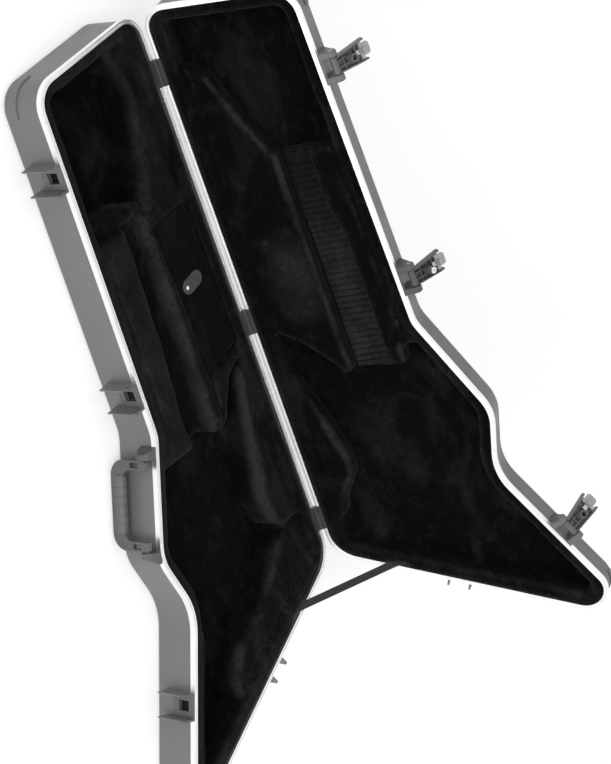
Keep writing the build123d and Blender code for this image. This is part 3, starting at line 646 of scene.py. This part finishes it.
def lining(name, body, bed_nodes, block_nodes, brushing_and_painted_light):
    """All the foam of one shell under one continuous cover."""
    blocks = [swollen_block(node) for node in block_nodes]
    piece = copy_of(name, *bed_nodes)
    for block in blocks:
        block.select_set(True)
    piece.select_set(True)
    bpy.context.view_layer.objects.active = piece
    bpy.ops.object.join()
    rebuild(piece, COVER_NET)
    relax(piece, COVER_ROUNDS)
    unevenness(piece, size=0.07, depth=0.003)
    unevenness(piece, size=0.018, depth=0.0012)
    declare(piece, body, [*bed_nodes, *block_nodes], brushing_and_painted_light)
    return piece


# %% [markdown]
# ### Plush
# Four pieces of plush differ a little in tone, as they lie differently to the light. Real pile swallows
# nearly all light that falls straight on it, so the dark tone is close to black, and a faint sheen
# stands for the fibre tips that shine at a flat angle.


# %% Plush
def plush(name, dark, stroked_and_lit, streak_scale):
    """A pile finish that looks paler where the piece's crest value is high."""
    material = finish(
        name, pile_group, 0.0006,
        {"Dark": dark, "Stroked And Lit": stroked_and_lit, "Streak Scale": streak_scale},
        {"Sheen Weight": 0.06, "Sheen Roughness": 0.4, "Specular IOR Level": 0.08},
    )
    tree = material.node_tree
    crest = tree.nodes.new("ShaderNodeAttribute")
    crest.attribute_name = "crest"
    effect = next(node for node in tree.nodes if node.bl_idname == "ShaderNodeGroup")
    tree.links.new(crest.outputs["Fac"], effect.inputs["Crest"])
    return material


base_plush = plush("base_plush", grey(0.0018), (0.034, 0.0335, 0.0345, 1), 9.0)
lid_plush = plush("lid_plush", (0.0012, 0.0013, 0.0014, 1), (0.027, 0.030, 0.0315, 1), 7.5)
flap_plush = plush("flap_plush", grey(0.0018), grey(0.018), 14.0)
strip_plush = plush("strip_plush", grey(0.004), (0.033, 0.0348, 0.0365, 1), 11.0)
print("plush ready")

# %% [markdown]
# ### The base's lining
# The floor sheet, the ring along the walls and the shaped blocks lie under one continuous cover. The
# blocks are swollen one by one, then everything is joined before the net is built, so the joints between
# them disappear and only soft valleys are left. A separate cover per block would leave a hard black
# crack at every joint.

# %% Base lining
# painted light: slopes turned towards the lamp on the handle side are made paler
HANDLE_SIDE = Vector((-0.9, 0.08, 0.43)).normalized()
SLOPE_FACING = (0.5, 0.9)  # from barely to fully turned towards the handle side
SLOPE_HEIGHT = (0.05, 0.066)
HEAD_START = (0.29, 0.33)  # along the case; slopes past it get less painted light
NECK_GAIN, HEAD_LOSS = 1.1, 0.6
TOP_HEIGHT = (0.0765, 0.081)
TOP_SHARE = 0.36
SPINE_EDGE = (0.108, 0.113)  # the ring along the hinge line isn't made paler


def base_tops_and_painted_light(spot, facing):
    """The highest tops facing up are made paler, and high slopes facing the handle side get painted light
    from the lamp there.
    """
    slope = ramp(facing.dot(HANDLE_SIDE), *SLOPE_FACING) * ramp(spot.z, *SLOPE_HEIGHT)
    slope *= NECK_GAIN - HEAD_LOSS * ramp(spot.y, *HEAD_START)
    top = TOP_SHARE * ramp(spot.z, *TOP_HEIGHT) * ramp(facing.z, *SLOPE_FACING)
    patchiness = uneven(spot, rate=22, middle=0.85, swing=0.6)
    return max(slope, top) * patchiness * fall(spot.x, *SPINE_EDGE)


BASE_RING = ("head", "front", "shoulder", "wing", "butt", "spine")
BASE_BLOCKS = ("neck_bar_inner", "neck_bar_outer", "neck_floor", "heel_pad", "waist_ridge", "butt_filler",
               "wing_pad")
base_lining = lining(
    "base_lining", "base",
    ["base_floor_pad"] + [f"base_bolster_{part}" for part in BASE_RING],
    BASE_BLOCKS,
    base_tops_and_painted_light,
)
base_lining.data.materials.append(base_plush)

# %% [markdown]
# ### The lid's lining
# In the lid three flatter pads press on the instrument. The lid stands open, so places in it are measured
# along two directions that lean with it: how deep below its rim, and how far from the hinge line.

# %% Lid lining
LID_TURN = radians(110)
HINGE_LINE = Vector((0.150, 0, 0.088))
INTO_LID = Vector((sin(LID_TURN), 0, cos(LID_TURN)))  # from the rim towards the lid's outer face
ACROSS_LID = Vector((-cos(LID_TURN), 0, sin(LID_TURN)))  # from the hinge line towards the latches
# painted light: upper slopes turned towards the lamps are made paler
LID_SLOPE = Vector((-0.5, 0, 0.87)).normalized()
LID_SLOPE_FACING = (0.86, 0.97)
PAD_TOPS = (0.018, 0.03)  # depth below the rim
PAST_HINGES = (0.05, 0.06)  # distance from the hinge line
PATCHES = (
    (Vector((0.1956, 0.1150, 0.1840)), 0.060, 0.75),
    (Vector((0.1850, 0.1844, 0.1549)), 0.007, 1.0),
    (Vector((0.2560, -0.2923, 0.2446)), 0.030, 0.4),
    (Vector((0.2219, -0.4049, 0.1510)), 0.022, 0.4),
)  # middle, reach and strength of the places that the instrument rubs
PATCH_LENGTH = 0.6  # below 1, a patch is longer along the case than across
PATCH_CORE = 0.3  # the share of its reach where a patch has its full strength


def lid_painted_light_and_patches(spot, facing):
    """Painted light on upper slopes near the pads' tops, and a few rubbed patches."""
    depth = (spot - HINGE_LINE).dot(INTO_LID)
    away = (spot - HINGE_LINE).dot(ACROSS_LID)
    slope = ramp(facing.dot(LID_SLOPE), *LID_SLOPE_FACING)
    value = slope * fall(depth, *PAD_TOPS) * ramp(away, *PAST_HINGES)
    for middle, reach, strength in PATCHES:
        offset = spot - middle
        offset.y *= PATCH_LENGTH
        value = max(value, strength * fall(offset.length, PATCH_CORE * reach, reach))
    return value * uneven(spot, rate=26, middle=0.8, swing=0.7)


lid_lining = lining(
    "lid_lining", "lid",
    ["lid_floor_pad", "lid_bolsters"],
    ["lid_neck_pad", "lid_front_pad", "lid_waist_pad"],
    lid_painted_light_and_patches,
)
lid_lining.data.materials.append(lid_plush)

# %% [markdown]
# ### Strip along the neck
# Between two of the lid's pads a strip lies along the neck, where the strings and frets have pressed a
# row of crosswise lines into the pile. A cosine along the case, raised to a power, gives narrow lines
# with broad bands between them. The strip's net is finer, because a line is only a few millimetres wide.

# %% Strip along the neck
FRET_GAP = 0.0112
FRET_DEPTH = 0.0009
FRET_SHARPNESS = 4
STRIP_NET = 0.0022
STRIP_FADE = (-0.03, 0.42)  # along the case; the brushing fades towards the head end


def fret_press(y):
    """How far the frets have pressed the pile down at a place along the strip, from 0 to 1."""
    return max(0.0, cos(2 * pi * y / FRET_GAP)) ** FRET_SHARPNESS


def strip_brushed(spot, facing):
    """The bands between the lines are brushed, whichever way they face."""
    patchiness = 0.85 * uneven(spot, rate=30, middle=0.8, swing=0.5)
    return patchiness * (1 - fret_press(spot.y)) * fall(spot.y, *STRIP_FADE)


strip = copy_of("lid_strip", "lid_neck_strip")
rebuild(strip, STRIP_NET)
relax(strip, 2)
for vertex in strip.data.vertices:
    vertex.co += INTO_LID * (FRET_DEPTH * fret_press(vertex.co.y))
unevenness(strip, size=0.05, depth=0.0015)
declare(strip, "lid", ["lid_neck_strip"], strip_brushed)
strip.data.materials.append(strip_plush)

# %% [markdown]
# ### Compartment flap
# A stiff board wrapped in the same plush closes the small compartment. It is thin, so its net is finer
# and it isn't swollen.

# %% Flap
FLAP_NET = 0.0016


def never_brushed(spot, facing):
    """The flap lies low, where the instrument doesn't touch it."""
    return 0.0


flap = copy_of("flap_cover", "compartment_lid")
rebuild(flap, FLAP_NET)
relax(flap, 1)
unevenness(flap, size=0.06, depth=0.0008)
declare(flap, "compartment_flap", ["compartment_lid"], never_brushed)
flap.data.materials.append(flap_plush)

# %% [markdown]
# ### The flap's hinge and the rivet of its tab
# A strip of the cover runs on from the flap's edge to the bolster beside it and is the hinge. It is laid
# out as a flat sheet, bent to a short sagging profile and then given its thickness. The pull tab is held
# by a bright rivet, whose head is a sphere pressed flat.


# %% Fabric hinge of the flap
def flat_sheet(name, columns, rows):
    """A square grid of side 1, to be laid out as cloth."""
    bpy.ops.object.select_all(action="DESELECT")
    bpy.ops.mesh.primitive_grid_add(x_subdivisions=columns, y_subdivisions=rows, size=1)
    piece = bpy.context.active_object
    piece.name = name
    piece.data.name = name
    return piece


def thicken(piece, thickness):
    """Gives a sheet its thickness, half to each side."""
    both_sides = piece.modifiers.new("thickness", "SOLIDIFY")
    both_sides.thickness = thickness
    both_sides.offset = 0
    bpy.ops.object.modifier_apply(modifier="thickness")


HINGE_START, HINGE_END = 0.033, 0.295  # along the case
HINGE_PROFILE = (
    (0.1200, 0.0800), (0.1183, 0.0776), (0.1162, 0.0764),
    (0.1138, 0.0763), (0.1105, 0.0767), (0.1075, 0.0767),
)  # across the case and up, from the bolster to the flap
HINGE_FABRIC = 0.0012
RIPPLE_DEPTH, RIPPLE_RATE = 0.0004, 40

spans = len(HINGE_PROFILE) - 1
flap_hinge = flat_sheet("flap_fabric_hinge", columns=spans, rows=60)
for vertex in flap_hinge.data.vertices:
    x, z = HINGE_PROFILE[round((vertex.co.x + 0.5) * spans)]
    y = HINGE_START + (vertex.co.y + 0.5) * (HINGE_END - HINGE_START)
    vertex.co = (x, y, z + RIPPLE_DEPTH * noise.noise(Vector((0, y * RIPPLE_RATE, 0))))
thicken(flap_hinge, HINGE_FABRIC)
rounder = flap_hinge.modifiers.new("round", "SUBSURF")
rounder.levels = 2
bpy.ops.object.modifier_apply(modifier="round")
bpy.ops.object.shade_smooth()
flap_hinge.data.materials.append(flap_plush)
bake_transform(flap_hinge)
print("fabric hinge length in mm:", round((HINGE_END - HINGE_START) * 1000))

# %% Rivet of the pull tab
RIVET_RADIUS = 0.0044
RIVET_AT = (0.05672, 0.17048, 0.0789)
RIVET_FLATNESS = 0.5

bpy.ops.object.select_all(action="DESELECT")
bpy.ops.mesh.primitive_uv_sphere_add(segments=40, ring_count=20, radius=RIVET_RADIUS, location=RIVET_AT)
tab_rivet = bpy.context.active_object
bpy.ops.transform.resize(value=(1, 1, RIVET_FLATNESS))
bpy.ops.object.transform_apply(location=True, rotation=False, scale=True)
tab_rivet.name = "tab_rivet_head"
tab_rivet.data.name = tab_rivet.name
bpy.ops.object.shade_smooth()
tab_rivet.data.materials.append(lock_chrome)
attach(tab_rivet, "compartment_flap")
print("rivet head in mm:", [round(side * 1000, 1) for side in tab_rivet.dimensions])

# %% [markdown]
# ## The stay strap
# A flat woven band stops the lid. Each end comes up between lining and rail, folds over the rail's inner
# edge and runs to the other side, taut. It is laid out flat as a thin grid and then folded along the two
# slanting lines where the rails hold it, so its length and width stay true. Only the base's half is
# worked out. The lid's half is its mirror image about the plane half way along.

# %% Strap
FOLD = Vector((0.04326, -0.45826, 0.0883))  # where the band folds over the base's rim
WALL = Vector((0.92687, 0.37537, 0))  # along the butt wall
ALONG = Vector((cos(radians(35)), 0, sin(radians(35))))  # from the base's rim to the lid's
STRAP_WIDTH = 0.014
STRAP_THICKNESS = 0.0015
STRAP_TAIL = 0.029
FOLD_REACH = 0.0015
lean = WALL.dot(ALONG)
steep = sin(WALL.angle(ALONG))
uphill = (ALONG - WALL * lean) / steep
half_way = (HINGE_LINE - FOLD).dot(ALONG)
strap_length = 2 * (half_way + STRAP_TAIL)


def folded(along, across):
    """Where a point of the flat strap lies on the base's side."""
    sideways = along * lean + across * steep
    height = along * steep - across * lean
    if height > FOLD_REACH:
        rise = uphill * height
    elif height < -FOLD_REACH:
        rise = Vector((0, 0, height))
    else:
        share = (height + FOLD_REACH) / (2 * FOLD_REACH)
        rise = Vector((0, 0, -FOLD_REACH)) * (1 - share) ** 2 + uphill * FOLD_REACH * share ** 2
    return FOLD + WALL * sideways + rise


strap = flat_sheet("stay_strap_webbing", columns=360, rows=10)
for vertex in strap.data.vertices:
    along = (vertex.co.x + 0.5) * strap_length - STRAP_TAIL
    across = vertex.co.y * STRAP_WIDTH
    if along <= half_way:
        vertex.co = folded(along, across)
    else:
        mirrored = folded(2 * half_way - along, across)
        vertex.co = mirrored + ALONG * (2 * (HINGE_LINE - mirrored).dot(ALONG))
thicken(strap, STRAP_THICKNESS)
bpy.ops.object.shade_smooth_by_angle(angle=radians(40))
print("strap length in mm:", round(strap_length * 1000, 1), "between folds:", round(half_way * 2000, 1))

# %% [markdown]
# ### Webbing
# Flat webbing shows its threads as a small chequer. The pattern reads the strip's own UV map, so it runs
# along the band and goes round its folds with it. A fine noise adds the fuzz of the fibres.

# %% Webbing
THREADS = (130.0, 8.0, 1.0)  # along the band, across it
FUZZ_SCALE = 900.0
THREAD_TONES = ((0.03, 0.029, 0.028, 1), (0.055, 0.053, 0.05, 1))
THREAD_DEPTH = 0.0003

webbing = bpy.data.materials.new("webbing")
webbing.use_nodes = True
tree = webbing.node_tree
shader = tree.nodes["Principled BSDF"]
uv = tree.nodes.new("ShaderNodeTexCoord").outputs["UV"]
weave = tree.nodes.new("ShaderNodeTexChecker")
weave.inputs["Scale"].default_value = 1.0
tree.links.new(stretched(tree, uv, THREADS), weave.inputs["Vector"])
fuzz = add_noise(tree, object_position(tree), FUZZ_SCALE, detail=2)
thread = add_mix(tree, weave.outputs["Fac"], *THREAD_TONES)
tree.links.new(thread, shader.inputs["Base Color"])
shader.inputs["Roughness"].default_value = 0.8
shader.inputs["Sheen Weight"].default_value = 0.2
bump = tree.nodes.new("ShaderNodeBump")
bump.inputs["Distance"].default_value = THREAD_DEPTH
tree.links.new(add_math(tree, "ADD", weave.outputs["Fac"], fuzz), bump.inputs["Height"])
tree.links.new(bump.outputs["Normal"], shader.inputs["Normal"])
strap.data.materials.append(webbing)
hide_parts("stay_strap")
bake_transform(strap)
print("threads along the strap:", round(THREADS[0]))
